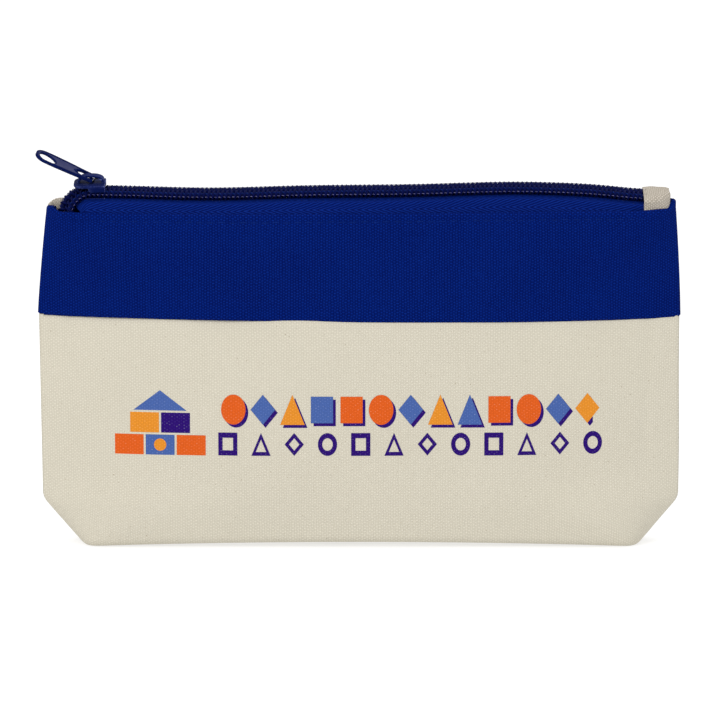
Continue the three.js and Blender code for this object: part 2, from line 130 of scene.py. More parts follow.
class Surface:
    """A material and short ways to add its nodes. A value is a socket or a number."""

    def __init__(self, name, **values):
        self.material = bpy.data.materials.new(name)
        self.material.use_nodes = True
        self.tree = self.material.node_tree
        self.bsdf = self.tree.nodes["Principled BSDF"]
        for key, value in values.items():
            self.bsdf.inputs[key.replace("_", " ").title().replace("Ior", "IOR")].default_value = value

    def node(self, kind, inputs=(), **settings):
        made = self.tree.nodes.new("ShaderNode" + kind)
        for key, value in settings.items():
            setattr(made, key, value)
        for key, value in dict(inputs).items():
            if isinstance(value, bpy.types.NodeSocket):
                self.tree.links.new(value, made.inputs[key])
            else:
                made.inputs[key].default_value = value
        return made

    def math(self, operation, first, second=0.0, third=0.0):
        values = {0: first, 1: second, 2: third}
        return self.node("Math", values, operation=operation).outputs[0]

    def millimetres(self, vector):
        return self.node("VectorMath", {0: vector, "Scale": 1000}, operation="SCALE").outputs[0]

    def place(self):
        return self.millimetres(self.node("TexCoord").outputs["Object"])

    def cloth_uv(self):
        """Place on the flat cloth."""
        return self.millimetres(self.node("UVMap", uv_map="cloth").outputs[0])

    def stretched(self, vector, x, y, z=1):
        return self.node("VectorMath", {0: vector, 1: (x, y, z)}, operation="MULTIPLY").outputs[0]

    def noise(self, vector, scale, detail=2.0, roughness=0.5):
        values = {"Vector": vector, "Scale": scale, "Detail": detail, "Roughness": roughness}
        return self.node("TexNoise", values).outputs["Fac"]

    def between(self, value, low, high, to_low=0.0, to_high=1.0):
        values = {0: value, 1: low, 2: high, 3: to_low, 4: to_high}
        return self.node("MapRange", values, interpolation_type="SMOOTHSTEP").outputs[0]

    def mixed(self, value, first, second):
        """From the first colour at 0 to the second at 1."""
        pair = [c if isinstance(c, bpy.types.NodeSocket) else (*c, 1) for c in (first, second)]
        return self.node("Mix", {0: value, 6: pair[0], 7: pair[1]}, data_type="RGBA").outputs[2]

    def link(self, name, socket):
        self.tree.links.new(socket, self.bsdf.inputs[name])

    def finished(self, colour, rough, height, depth):
        """depth is the height of the relief, in millimetres."""
        relief = {"Height": height, "Distance": depth * MM, "Strength": 1.0}
        self.link("Base Color", colour)
        self.link("Roughness", rough)
        self.link("Normal", self.node("Bump", relief).outputs[0])
        return self.material


def plain_weave(surface, warp, weft):
    """Height 0..1 of a plain weave with these yarn spacings in millimetres, a little uneven."""
    flat = surface.cloth_uv()
    wander = surface.node("TexNoise", {"Vector": flat, "Scale": 0.35, "Detail": 3.0}).outputs["Color"]
    shift = surface.node("VectorMath", {0: wander, 1: (0.5, 0.5, 0.5)}, operation="SUBTRACT").outputs[0]
    sway = {0: shift, 1: (1.1 * warp, 1.1 * weft, 0), 2: flat}
    wavy = surface.node("VectorMath", sway, operation="MULTIPLY_ADD").outputs[0]
    parts = surface.node("SeparateXYZ", {0: wavy})
    across = surface.math("SINE", surface.math("MULTIPLY", parts.outputs[0], math.pi / warp))
    along = surface.math("SINE", surface.math("MULTIPLY", parts.outputs[1], math.pi / weft))
    crossing = surface.math("MULTIPLY", across, along)
    dots = surface.between(crossing, -0.1, 0.85)
    floats = surface.between(crossing, 0, -0.9, 0, 0.38)
    fuzz = surface.noise(flat, 5.5, 2)
    slub = surface.noise(surface.stretched(flat, 0.5 / warp, 0.25 / weft), 1.0, 2)
    uneven = surface.math("MULTIPLY_ADD", fuzz, 0.2, surface.math("MULTIPLY", slub, 0.25))
    return surface.math("MULTIPLY_ADD", surface.math("ADD", dots, floats), 0.7, uneven)


def canvas(name, dark, light, warp, weft, flecks=0.0, fleck_colour=(0, 0, 0)):
    sheen = {"sheen_weight": 0.02, "sheen_roughness": 0.5, "sheen_tint": (*light, 1)}
    surface = Surface(name, specular_ior_level=0.02, **sheen)
    height = plain_weave(surface, warp, weft)
    flat = surface.cloth_uv()
    cloudy = surface.noise(flat, 0.035, 3, 0.6)
    streaky = surface.noise(surface.stretched(flat, 1.6, 0.05), 1, 2)
    shade = surface.math("MULTIPLY_ADD", cloudy, 0.2, surface.math("MULTIPLY", streaky, 0.14))
    tone = surface.math("ADD", surface.between(height, 0.12, 0.98, 0, 0.83), shade)
    tinted = surface.mixed(tone, dark, light)
    if flecks:
        spots = surface.noise(surface.stretched(flat, 1.4, 1.0), 1.15, 1)
        marks = surface.between(spots, 0.74 - flecks, 0.79 - flecks)
        tinted = surface.mixed(surface.math("MULTIPLY", marks, 0.55), tinted, fleck_colour)
    return surface.finished(tinted, surface.between(height, 0, 1, 0.97, 0.82), height, 0.13)


def twill_tape():
    """Zip tape: rows of fine diagonal ribs that lean one way and then the other."""
    row_width, row_start, slope, rib_width = 4.2, 3.25, -2.8, 2.3
    surface = Surface("zip_tape", sheen_weight=0.02, sheen_tint=(0.02, 0.1, 0.4, 1), specular_ior_level=0.03)
    flat = surface.cloth_uv()
    parts = surface.node("SeparateXYZ", {0: flat})
    row = surface.math("PINGPONG", surface.math("ADD", parts.outputs[1], row_start), row_width)
    wander = surface.math("MULTIPLY", surface.noise(flat, 0.8, 3), 1.2)
    slanted = surface.math("ADD", wander, surface.math("MULTIPLY_ADD", row, slope, parts.outputs[0]))
    rib = surface.math("SINE", surface.math("MULTIPLY", slanted, 2 * math.pi / rib_width))
    rib = surface.between(rib, -0.7, 0.9)
    pick = surface.math("ABSOLUTE", surface.math("SINE", surface.math("MULTIPLY", parts.outputs[1], 8)))
    fuzz = surface.noise(flat, 4, 2)
    height = surface.math("MULTIPLY_ADD", pick, 0.22, surface.math("MULTIPLY_ADD", fuzz, 0.25, rib))
    tone = surface.mixed(surface.between(height, 0.1, 1.3), linear(1, 13, 76), linear(6, 36, 118))
    return surface.finished(tone, surface.between(height, 0, 1.2, 0.9, 0.7), height, 0.1)


def thread(name, dark, light):
    """Twisted sewing thread: fine plies that run slantwise round it."""
    surface = Surface(name, sheen_weight=0.02, specular_ior_level=0.04)
    waves = {"Vector": surface.place(), "Scale": 1.1, "Distortion": 1.5}
    plies = surface.node("TexWave", waves, bands_direction="DIAGONAL").outputs["Fac"]
    tone = surface.mixed(plies, dark, light)
    return surface.finished(tone, surface.between(plies, 0, 1, 0.7, 0.45), plies, 0.03)


def hard_skin(name, colours, cloud, grain, roughness, depth, worn_and_highlight=None, **values):
    """Cloudy and slightly pitted. cloud and grain are a noise's scale, detail and roughness, and
    the last colour goes on sharp edges in patches: partly rubbed paint and partly a painted highlight."""
    surface = Surface(name, **values)
    place = surface.place()
    tone = surface.mixed(surface.noise(place, *cloud), *colours)
    pits = surface.noise(place, *grain)
    if worn_and_highlight:
        # Lighter colour on sharp edges in noise patches: partly rubbed paint, partly a painted highlight.
        edge = surface.node("NewGeometry").outputs["Pointiness"]
        bare = surface.between(pits, 0.4, 0.56)
        rubbed_and_highlit = surface.math("MULTIPLY", surface.between(edge, 0.515, 0.58), bare)
        tone = surface.mixed(surface.math("MULTIPLY", rubbed_and_highlit, 0.6), tone, worn_and_highlight)
    return surface.finished(tone, surface.between(pits, 0.3, 0.7, *roughness), pits, depth)


def spring_steel():
    surface = Surface("spring_steel", metallic=1.0)
    grain = surface.noise(surface.stretched(surface.place(), 0.4, 9, 9), 1, 3)
    tone = surface.mixed(grain, linear(30, 32, 36), linear(56, 58, 56))
    return surface.finished(tone, surface.between(grain, 0.3, 0.7, 0.3, 0.5), grain, 0.01)


def ink(name, colour):
    """Screen-printed ink that lets the tops of the yarns show through."""
    surface = Surface(name, specular_ior_level=0.06)
    height = plain_weave(surface, CREAM_WARP, CREAM_WEFT)
    thin = surface.noise(surface.cloth_uv(), 0.9, 3, 0.7)
    bare = surface.math("MULTIPLY", surface.between(height, 0.82, 1.0), surface.between(thin, 0.45, 0.62))
    shade = surface.mixed(surface.between(height, 0.1, 0.9), tuple(0.8 * c for c in colour), colour)
    tone = surface.mixed(surface.math("MULTIPLY", bare, 0.22), shade, CREAM_LIGHT)
    return surface.finished(tone, surface.between(height, 0, 1, 0.85, 0.65), height, 0.11)


CREAM_WARP, CREAM_WEFT = 0.83, 0.56
BLUE_WARP, BLUE_WEFT = 0.9, 0.48
CREAM_LIGHT = linear(209, 204, 189)
CREAM_DARK = linear(184, 178, 162)
FLECK = linear(120, 100, 70)

make_camera()
make_stage()

CREAM = canvas("natural_canvas", CREAM_DARK, CREAM_LIGHT, CREAM_WARP, CREAM_WEFT, 0.012, FLECK)
TAB_CREAM = canvas("tab_canvas", linear(130, 122, 110), linear(203, 195, 183), 0.62, 0.5, 0.02, FLECK)
BLUE = canvas("blue_canvas", linear(0, 3, 58), linear(6, 37, 121), BLUE_WARP, BLUE_WEFT)
TAPE = twill_tape()
BLUE_THREAD = thread("blue_thread", linear(1, 16, 72), linear(10, 44, 122))
# Lighter lilac thread for the front coil's outer row: a painted glint, as the same thread is blue elsewhere.
PAINTED_GLINT_THREAD = thread("coil_thread_painted_glint", linear(28, 32, 86), linear(112, 110, 154))
CORD_THREAD = thread("filler_cord", linear(3, 8, 48), linear(9, 20, 78))
CREAM_THREAD = thread("natural_thread", linear(196, 188, 168), linear(240, 234, 218))
coil_blues = linear(1, 5, 44), linear(5, 15, 74)
NYLON = hard_skin("nylon_coil", coil_blues, (0.5, 2), (7, 2), (0.5, 0.7), 0.015, specular_ior_level=0.03)
# The slider's light edge colour is partly wear and partly a painted highlight.
ENAMEL = hard_skin(
    "slider_paint", (linear(1, 7, 46), linear(9, 24, 82)), (0.45, 3), (3.2, 3, 0.6), (0.42, 0.58), 0.03,
    worn_and_highlight=linear(104, 116, 178), specular_ior_level=0.02,
)
ENAMEL_FACE = hard_skin(
    "pull_tab_face", (linear(28, 33, 76), linear(54, 57, 96)), (0.3, 3), (4.5, 3, 0.65), (0.42, 0.6), 0.04,
    specular_ior_level=0.08, coat_weight=0.02, coat_roughness=0.35,
)
STEEL = spring_steel()

# --- Mesh helpers ---


def add_mesh(name, points, faces, materials, uv=None):
    """points and uv in millimetres."""
    mesh = bpy.data.meshes.new(name)
    mesh.from_pydata((np.asarray(points) * MM).tolist(), [], faces)
    if uv is not None:
        layer = mesh.uv_layers.new(name="cloth")
        corner = np.empty(len(mesh.loops), dtype=np.int32)
        mesh.loops.foreach_get("vertex_index", corner)
        layer.data.foreach_set("uv", (np.asarray(uv)[corner] * MM).astype(np.float32).ravel())
    mesh.polygons.foreach_set("use_smooth", [True] * len(mesh.polygons))
    mesh.validate()
    mesh.update()
    for material in materials:
        mesh.materials.append(material)
    return linked(name, mesh)


class Parts:
    """Several shapes that become one piece. mark is the number of a shape's material."""

    def __init__(self):
        self.points, self.faces, self.marks, self.uvs = [], [], [], []
        self.count = 0

    def add(self, points, faces, mark=0, uv=None):
        self.points.append(points)
        self.faces += [tuple(self.count + q for q in face) for face in faces]
        self.marks += [mark] * len(faces)
        self.count += len(points)
        if uv is not None:
            self.uvs.append(uv)

    def piece(self, name, materials, place=lambda points: points):
        uv = np.concatenate(self.uvs) if self.uvs else None
        made = add_mesh(name, place(np.concatenate(self.points)), self.faces, materials, uv)
        if len(materials) > 1:
            made.data.polygons.foreach_set("material_index", self.marks)
        return made


def grid_faces(rows, cols, closed=False, flip=False):
    span = cols if closed else cols - 1
    faces = []
    for i in range(rows - 1):
        for j in range(span):
            k = (j + 1) % cols
            quad = (i * cols + j, i * cols + k, (i + 1) * cols + k, (i + 1) * cols + j)
            faces.append(quad[::-1] if flip else quad)
    return faces


def grid_normals(middle):
    along = np.gradient(middle, axis=0)
    across = np.gradient(middle, axis=1)
    normal = np.cross(across, along)
    return normal / np.maximum(np.linalg.norm(normal, axis=2, keepdims=True), 1e-9)


def arc_lengths(middle, axis):
    steps = np.linalg.norm(np.diff(middle, axis=axis), axis=2)
    zero = np.zeros_like(np.take(steps, [0], axis=axis))
    total = np.cumsum(np.concatenate([zero, steps], axis=axis), axis=axis)
    half = total.shape[axis] // 2
    return total - np.take(total, [half], axis=axis)


def sheet_parts(middle, thickness):
    """Points, faces and uv of a closed sheet of cloth round a grid of middle points."""
    rows, cols, _ = middle.shape
    normal = grid_normals(middle)
    uv = np.stack([arc_lengths(middle, 1), arc_lengths(middle, 0)], axis=2)
    outer = middle + normal * thickness / 2
    inner = middle - normal * thickness / 2
    points = np.concatenate([outer.reshape(-1, 3), inner.reshape(-1, 3)])
    size = rows * cols
    faces = grid_faces(rows, cols)
    faces += [tuple(size + q for q in quad) for quad in grid_faces(rows, cols, flip=True)]
    top = [(rows - 1) * cols + j for j in range(cols)]
    edge = [*range(cols), *(i * cols + cols - 1 for i in range(1, rows)), *top[-2::-1]]
    edge += [i * cols for i in range(rows - 2, 0, -1)]
    for a, b in zip(edge, edge[1:] + edge[:1]):
        faces.append((b, a, a + size, b + size))
    flat = uv.reshape(-1, 2)
    return points, faces, np.concatenate([flat, flat])


def tube_parts(path, radius, sides=7):
    """A round tube along a path of points, with its ends closed."""
    path = np.asarray(path, float)
    tangent = np.gradient(path, axis=0)
    tangent /= np.maximum(np.linalg.norm(tangent, axis=1, keepdims=True), 1e-9)
    side = np.zeros_like(path)
    guess = np.array([0.0, 0.0, 1.0]) if abs(tangent[0][2]) < 0.9 else np.array([0.0, 1.0, 0.0])
    for i, direction in enumerate(tangent):
        guess = guess - direction * guess.dot(direction)
        guess = guess / max(np.linalg.norm(guess), 1e-9)
        side[i] = guess
    other = np.cross(tangent, side)
    angles = np.arange(sides) * 2 * math.pi / sides
    radii = np.broadcast_to(radius, (len(path),))[:, None, None]
    ring = side[:, None, :] * np.cos(angles)[None, :, None]
    ring = ring + other[:, None, :] * np.sin(angles)[None, :, None]
    points = (path[:, None, :] + ring * radii).reshape(-1, 3)
    last = (len(path) - 1) * sides
    ends = [tuple(range(sides - 1, -1, -1)), tuple(range(last, last + sides))]
    return points, grid_faces(len(path), sides, closed=True) + ends


def ripples(u, v, seed, wavelengths, waves=5):
    """A smooth uneven surface, about -1..1, from plane waves in random directions."""
    random = np.random.default_rng(seed)
    total = np.zeros(np.broadcast(u, v).shape)
    for length in wavelengths:
        for angle, phase in random.uniform(0, 2 * math.pi, (waves, 2)):
            place = (u * math.cos(angle) + v * math.sin(angle)) / length
            total += length * np.sin(2 * math.pi * place + phase)
    return total / (sum(wavelengths) * math.sqrt(waves))


def columns(*values):
    return np.stack(np.broadcast_arrays(*values), axis=-1)


def hump(value, middle, width):
    return np.exp(-(((value - middle) / width) ** 2))


def smooth_step(value, low, high):
    part = np.clip((value - low) / (high - low), 0, 1)
    return part * part * (3 - 2 * part)


def shown(piece, body, slot, *nodes):
    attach(piece, body)
    if nodes:
        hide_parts(*nodes)
    return piece


def add_sheet(name, middle, thickness, material, body, slot, flip=False):
    points, faces, flat = sheet_parts(middle[:, ::-1] if flip else middle, thickness)
    return shown(add_mesh(name, points, faces, [material], flat), body, slot, name)


def add_tubes(name, paths, radius, material, slot, sides=7):
    """Several tubes as one piece. radius is a number or one value for each point of a path."""
    parts = Parts()
    for path in paths:
        parts.add(*tube_parts(path, radius, sides))
    return shown(parts.piece(name, [material]), "pouch", slot, name)


# --- The body's outline, as in the CAD frame ---

CANVAS_THICK = 0.9
SEAM_Y = 0.6
CORNER_HEIGHT = 15
CORNER_HALF = 106.4
BASE_HALF = 93.5
BULGE_HEIGHT = 35
TOP_DEPTH = 6.4
FOLD_RADIUS = 2.4

panel_box = cad_box("front_lower_panel")
band_box = cad_box("front_band")
BODY_HALF = panel_box[1][0] - 0.1
BAND_HALF = band_box[1][0] - 0.15
TOP_HALF = BAND_HALF - 1.9
BAND_BOTTOM = band_box[0][2]
BACK_TOP = band_box[1][2]
MOUTH_HEIGHT = BACK_TOP - 1.8
FRONT_TOP = BACK_TOP - 3.2
LEFT_CORNER = BACK_TOP - 1.7
RIGHT_CORNER = BACK_TOP + 0.4
LEFT_LEAN = 1.5
BULGE_DEPTH = -panel_box[0][1] - SEAM_Y - CANVAS_THICK / 2
SEAM_TURN = np.array([0.55, 1.2, 2.4])       # how far in from the side seam the cloth's allowance reaches
SEAM_TURN_Y = 0.47
BASE_BOW = 1.5
PANEL_COLUMNS = 210
BAND_COLUMNS = 250


def body_half(z):
    corner = BASE_HALF + (CORNER_HALF - BASE_HALF) * z / CORNER_HEIGHT
    side = CORNER_HALF + (BODY_HALF - CORNER_HALF) * (z - CORNER_HEIGHT) / (BAND_BOTTOM - CORNER_HEIGHT)
    soft = 1.5
    mix = np.clip(0.5 + (side - corner) / (2 * soft), 0, 1)
    return side + (corner - side) * mix - soft * mix * (1 - mix)


def band_half(z):
    rise = np.maximum(z - BAND_BOTTOM, 0) / (MOUTH_HEIGHT - BAND_BOTTOM)
    return BAND_HALF - (BAND_HALF - TOP_HALF) * rise**1.5


def wall_depth(z):
    away = (z - BULGE_HEIGHT) / (MOUTH_HEIGHT - BULGE_HEIGHT)
    return BULGE_DEPTH - (BULGE_DEPTH - TOP_DEPTH) * away**2


def squareness(z):
    return 2.6 + 57 * np.exp(-z / 5) + 27 * np.exp((z - MOUTH_HEIGHT) / 7)


def wall_y(share, z):
    return SEAM_Y + wall_depth(z) * (1 - np.minimum(np.abs(share), 1) ** squareness(z))


def leaned(x, z):
    """The case isn't quite even: its left end leans in at the top, and its right side is fuller low down."""
    end = np.clip(np.abs(x) / BODY_HALF, 0, 1) ** 2
    top = LEFT_LEAN * np.maximum(z - BAND_BOTTOM, 0) / (MOUTH_HEIGHT - BAND_BOTTOM)
    low = 0.9 * hump(z, 28, 30) + 1.5 * np.exp(-z / 9)
    return x + end * np.where(x < 0, top, low)


def across_shares(count):
    """From one side seam to the other, closer together near the seams."""
    spread = np.linspace(-1, 1, count)
    return 0.45 * spread + 0.55 * np.sin(spread * math.pi / 2)


def seam_turned_in(row_x, row_y):
    """Adds the cloth's allowance at both ends of a row: it turns inwards along the seam."""
    flat = np.full_like(SEAM_TURN, SEAM_TURN_Y)
    xs = np.concatenate([(row_x[0] + SEAM_TURN)[::-1], row_x, row_x[-1] - SEAM_TURN])
    return xs, np.concatenate([flat, row_y, flat])


def bow(x, z):
    """The base lifts a little off the table between its corners, and less so the cloth higher up."""
    return BASE_BOW * (1 - np.minimum(np.abs(x) / BASE_HALF, 1) ** 2) * np.exp(-z / 25)


def panel_wrinkles(share, z, side):
    seed = 11 if side < 0 else 23
    x = share * BODY_HALF
    broad = 0.7 * ripples(x, z, seed, (95, 60, 38))
    crease = 0.5 * hump(np.abs(x), 95 + 0.03 * z, 2.2) * smooth_step(z, 14, 40)
    pucker = 0.16 * np.sin(z * 2 * math.pi / 9 + side) * smooth_step(np.abs(share), 0.9, 0.98)
    fade = 1 - np.abs(share) ** 14
    return (broad * smooth_step(z, 0, 12) - crease + pucker) * fade


# --- Lower panels ---


def lower_panel_rows():
    """Each row is (height, inset from the outline, share of the way in to the bottom seam)."""
    rows = [(CANVAS_THICK / 2 + 1.2, FOLD_RADIUS, 1.0), (CANVAS_THICK / 2 + 0.3, FOLD_RADIUS, 0.985)]
    rows += [(CANVAS_THICK / 2, FOLD_RADIUS, w) for w in np.linspace(0.95, 0, 9)]
    for angle in np.linspace(15, 90, 6):
        inset = FOLD_RADIUS * (1 - math.sin(math.radians(angle)))
        lift = FOLD_RADIUS * (1 - math.cos(math.radians(angle)))
        rows.append((CANVAS_THICK / 2 + lift, inset, 0.0))
    walls = np.arange(FOLD_RADIUS + 1.4, BAND_BOTTOM + 1.2, 1.05)
    return rows + [(z, 0.0, 0.0) for z in walls]


def lower_panel(name, side):
    share = across_shares(PANEL_COLUMNS)
    grid = []
    for z, inset, inward in lower_panel_rows():
        half = body_half(z) - 0.3 * inset
        depth = np.maximum(wall_y(share, z) - inset * (1 - np.abs(share) ** 20), SEAM_Y)
        depth = depth + panel_wrinkles(share, z, side)
        pinch = 0.7 * smooth_step(np.abs(share), 0.985, 0.998) * hump(z, 1.6, 0.8)
        x = share * (half - pinch)
        y = depth * (1 - inward) + 0.35 * inward
        xs, ys = seam_turned_in(x, y)
        if inward > 0:
            ys = np.minimum(ys, y.max())
        xs = leaned(xs, z)
        tuck = 0.8 * smooth_step(z, BAND_BOTTOM - 1.5, BAND_BOTTOM + 0.5)
        grid.append(columns(xs, side * (ys - tuck * (ys > 1)), z + bow(xs, z)))
    piece = add_sheet(name, np.array(grid), CANVAS_THICK, CREAM, "pouch", "natural_canvas", side > 0)


lower_panel("front_lower_panel", FRONT)
lower_panel("back_lower_panel", BACK)

# --- Bands ---

HEM = 7
STITCH_DROP = 2.4
STITCH_PITCH = 3.7
STITCH_LENGTH = 3.3
STITCH_RADIUS = 0.17


def top_edge(side, x):
    """The front edge sags in the middle and rises to meet the back edge at the side seams."""
    places = [-106, -99, -90, 90, 100, 106]
    heights = [LEFT_CORNER, LEFT_CORNER + 0.7, BACK_TOP, BACK_TOP, RIGHT_CORNER, RIGHT_CORNER]
    back = np.interp(x, places, heights)
    wave = 0.15 * ripples(x, np.zeros_like(x), 5 + side, (70, 41, 24))
    if side > 0:
        return back + wave
    sag = 0.8 * hump(x, -30, 55) - 0.25 * smooth_step(x, 30, 90)
    front = FRONT_TOP - 0.05 - (sag - 0.6 * smooth_step(x, 91, 102)) + wave
    meets = np.clip((-x - 101.5) / 3.6, 0, 1) + smooth_step(x, 103.4, 105.6)
    return front + (back - front) * meets


def band_wrinkles(share, z, side):
    seed = 31 if side < 0 else 47
    x = share * BAND_HALF
    broad = 0.45 * ripples(x, 1.6 * z, seed, (80, 46, 27))
    slanted = 0.1 * ripples(x + 0.4 * z, 0.25 * z, seed + 1, (13, 9))
    near_hem = smooth_step(z, FRONT_TOP - 16, FRONT_TOP - 3)
    pucker = 0.14 * np.sin(z * 2 * math.pi / 8 + side) * smooth_step(np.abs(share), 0.9, 0.98)
    return (broad + slanted * near_hem + pucker) * (1 - np.abs(share) ** 16)


def band_rows(top):
    """(height, offset) of each row for one height of the top edge: seam, face, fold and hem."""
    rows = [(BAND_BOTTOM + 5, -1.5), (BAND_BOTTOM + 2, -1.4), (BAND_BOTTOM + 0.7, -1.1)]
    rows += [(BAND_BOTTOM + 0.1, -0.7), (BAND_BOTTOM - 0.1, -0.3), (BAND_BOTTOM + 0.35, 0.0)]
    rows += [(z, 0.0) for z in np.linspace(BAND_BOTTOM + 1.2, FRONT_TOP - 6.2, 32)]
    rows += [(top - 0.6 - drop, 0.0) for drop in np.linspace(3.4, 0, 14)]
    rows += [(top - 0.2, -0.12), (top, -0.5), (top - 0.15, -0.9), (top - 0.7, -1.1)]
    return rows + [(top - 1.4 - drop, -1.12) for drop in np.linspace(0, HEM, 6)]


def band_surface(side, share, z, offset, top):
    """Depth of the band's middle surface, without its turned-in ends."""
    stitch_line = top - STITCH_DROP
    drawn_in = 0.26 * hump(z, stitch_line, 0.7)
    gathers = 0.07 * np.sin(share * BAND_HALF * 2 * math.pi / STITCH_PITCH) * hump(z, stitch_line, 1.5)
    below_top = np.minimum(z, MOUTH_HEIGHT + 1)
    depth = wall_y(share, below_top) + 0.6 * (1 - np.abs(share) ** 8) + offset - drawn_in + gathers
    return np.maximum(depth + band_wrinkles(share, z, side), 0.5)


def band(name, side):
    share = across_shares(BAND_COLUMNS)
    top = top_edge(side, share * TOP_HALF)
    grid = []
    for z, offset in np.array([band_rows(edge) for edge in top]).transpose(1, 2, 0):
        half = band_half(np.minimum(z, MOUTH_HEIGHT))
        y = band_surface(side, share, z, offset, top)
        xs, ys = seam_turned_in(share * (half + 0.5 * offset), y)
        zs = np.pad(z, len(SEAM_TURN), mode="edge")
        sag = 0.6 * np.sin((xs + 40) / 55) * np.exp(-(zs - BAND_BOTTOM) / 9)
        grid.append(columns(leaned(xs, zs), side * ys, zs - sag))
    piece = add_sheet(name, np.array(grid), CANVAS_THICK * 0.9, BLUE, "pouch", "blue_canvas", side > 0)


band("front_band", FRONT)
band("back_band", BACK)


def stitch_path(length, lift):
    """One lock stitch seen from outside: it dips into the cloth at both ends."""
    part = np.linspace(-1, 1, 9)
    return part * length / 2, lift * (1 - np.abs(part) ** 3.5) - 0.24


def top_stitching(name, side):
    count = int(2 * 0.96 * TOP_HALF / STITCH_PITCH)
    paths = []
    for i in range(count):
        along, lift = stitch_path(STITCH_LENGTH, 0.14)
        x = (i - (count - 1) / 2) * STITCH_PITCH + along
        share = x / TOP_HALF
        top = top_edge(side, x)
        z = top - STITCH_DROP + 0.12 * math.sin(i * 2.4)
        depth = band_surface(side, share, z, 0.0, top) + CANVAS_THICK * 0.45 + lift
        paths.append(columns(leaned(x, z), side * depth, z))
    add_tubes(name, paths, STITCH_RADIUS, BLUE_THREAD, "blue_thread")


top_stitching("topstitch_front", FRONT)
top_stitching("topstitch_back", BACK)

# --- The zip chain's own frame, as in the CAD: s along it, y across it, z out of the tapes ---

coil_box = cad_box("zip_coil_front")
ZIP_ROLL = math.radians(20)
END_ROLL = math.radians(40)
CURL_RADIUS = 6.5
CURL_LENGTH = 10.4
CURL_FORWARD = 1.5
CURL_X = -90.3
ZIP_HEIGHT = 117.6
CHAIN_END = coil_box[1][0]
COIL_PITCH = 1.51
TAPE_THICK = 0.5
TAPE_FOOT = cad_box("zip_tape_front")[0][2]
TAPE_START, TAPE_REACH = -6.5, 5.7
TAB_START = cad_box("zip_tab_right")[0][0] - CURL_X
COIL_WIRE = 0.45
COIL_MIDDLE, COIL_REACH = (1.22, 1.62), (1.66, 0.93)
CORD_MIDDLE, CORD_PLY, CORD_SPREAD = (1.75, 1.8), 0.5, 0.45
STITCH_ROWS = ((2.4, 2.86, 0, 1.1), (3.36, 1.9, 0.8, 0.5))   # y, top, and how far in and down between turns


def chain_lift(x):
    """The chain is slightly wavy: low left of the middle and at its right end, high between."""
    low = 0.95 * hump(x, -50, 26) + 1.4 * hump(x, 97, 14)
    return hump(x, 52, 27) - low - 0.35


def chain_point(s, y, z):
    s, y, z = np.broadcast_arrays(np.asarray(s, float), y, z)
    turn = np.maximum(-s, 0) / CURL_RADIUS
    part = np.maximum(-s, 0) / CURL_LENGTH
    roll = ZIP_ROLL + (END_ROLL - ZIP_ROLL) * part
    zero = np.zeros_like(s)
    up = columns(-np.sin(turn), zero, np.cos(turn))
    back = columns(zero, zero + 1, zero)
    across = back * np.cos(roll)[..., None] + up * np.sin(roll)[..., None]
    out = up * np.cos(roll)[..., None] - back * np.sin(roll)[..., None]
    middle_x = CURL_X + np.maximum(s, 0) - CURL_RADIUS * np.sin(turn)
    middle_z = ZIP_HEIGHT - CURL_RADIUS * (1 - np.cos(turn))
    middle = columns(middle_x, -CURL_FORWARD * part, middle_z)
    middle[..., 2] += chain_lift(middle[..., 0])
    return middle + across * y[..., None] + out * z[..., None]


def mouth_y(x, z, layers):
    """Room inside the bands' mouth for the middle of a layer that lies against it."""
    share = x / band_half(np.minimum(z, MOUTH_HEIGHT))
    return wall_y(share, np.minimum(z, MOUTH_HEIGHT)) - 0.75 - layers


def parted(s):
    """How far each coil stands off the middle where the chain is open, left of the slider."""
    return 0.55 * smooth_step(-s, -1.5, 5)


def zip_tape(name, side):
    s = np.concatenate([np.linspace(TAPE_START, 2, 16), np.linspace(3, CHAIN_END - CURL_X, 170)])
    flat_rows = np.linspace(0.45, 1, 10)
    grid = []
    for part in flat_rows:
        x = chain_point(s, 0, 0)[:, 0]
        under = 0.25 + 1.0 * smooth_step(x, 88, 94)
        wide = np.minimum(TAPE_REACH, mouth_y(x, MOUTH_HEIGHT + 0 * x, under) / math.cos(ZIP_ROLL))
        narrow = 1 - 0.45 * smooth_step(-s, 3.5, 6.5) if side > 0 else 1
        y = 0.55 + (wide * narrow - 0.55) * (part - 0.45) / 0.55 + 0.4 * parted(s)
        wave = 0.12 * ripples(s, part * 4 + 0 * s, 71 + side, (31, 17, 9)) * part
        grid.append(chain_point(s, side * y, -0.05 + wave))
    edge = grid[-1]
    for down in np.linspace(0.08, 1, 12):
        z = edge[:, 2] + (TAPE_FOOT - edge[:, 2]) * down
        under = 0.25 + 1.0 * smooth_step(edge[:, 0], 88, 94)
        inside = mouth_y(edge[:, 0], z, under)
        y = np.abs(edge[:, 1]) + (inside - np.abs(edge[:, 1])) * smooth_step(down, 0, 0.45)
        grid.append(columns(edge[:, 0], side * y, z))
    piece = add_sheet(name, np.array(grid), TAPE_THICK, TAPE, "pouch", "zip_tape", side < 0)


def coil(name, side):
    """One nylon monofilament coil. Its heads reach over the middle between the other coil's heads."""
    turn_steps = 18
    turns = int((CURL_LENGTH + TAB_START - 0.5) / COIL_PITCH)
    angle = np.linspace(0, 2 * math.pi * turns, turns * turn_steps)
    phase = 0 if side < 0 else 0.5
    s = -CURL_LENGTH + 0.4 + COIL_PITCH * (angle / (2 * math.pi) + phase)
    squared = lambda wave: np.sign(wave) * np.abs(wave) ** 0.75
    y = COIL_MIDDLE[0] + parted(s) + COIL_REACH[0] * squared(np.cos(angle))
    z = COIL_MIDDLE[1] + COIL_REACH[1] * squared(np.sin(angle))
    fat = COIL_WIRE * (1 + 0.18 * np.maximum(-np.cos(angle), 0) ** 4)
    path = chain_point(s, side * y, z)
    add_tubes(name, [path], fat, NYLON, "nylon_coil")


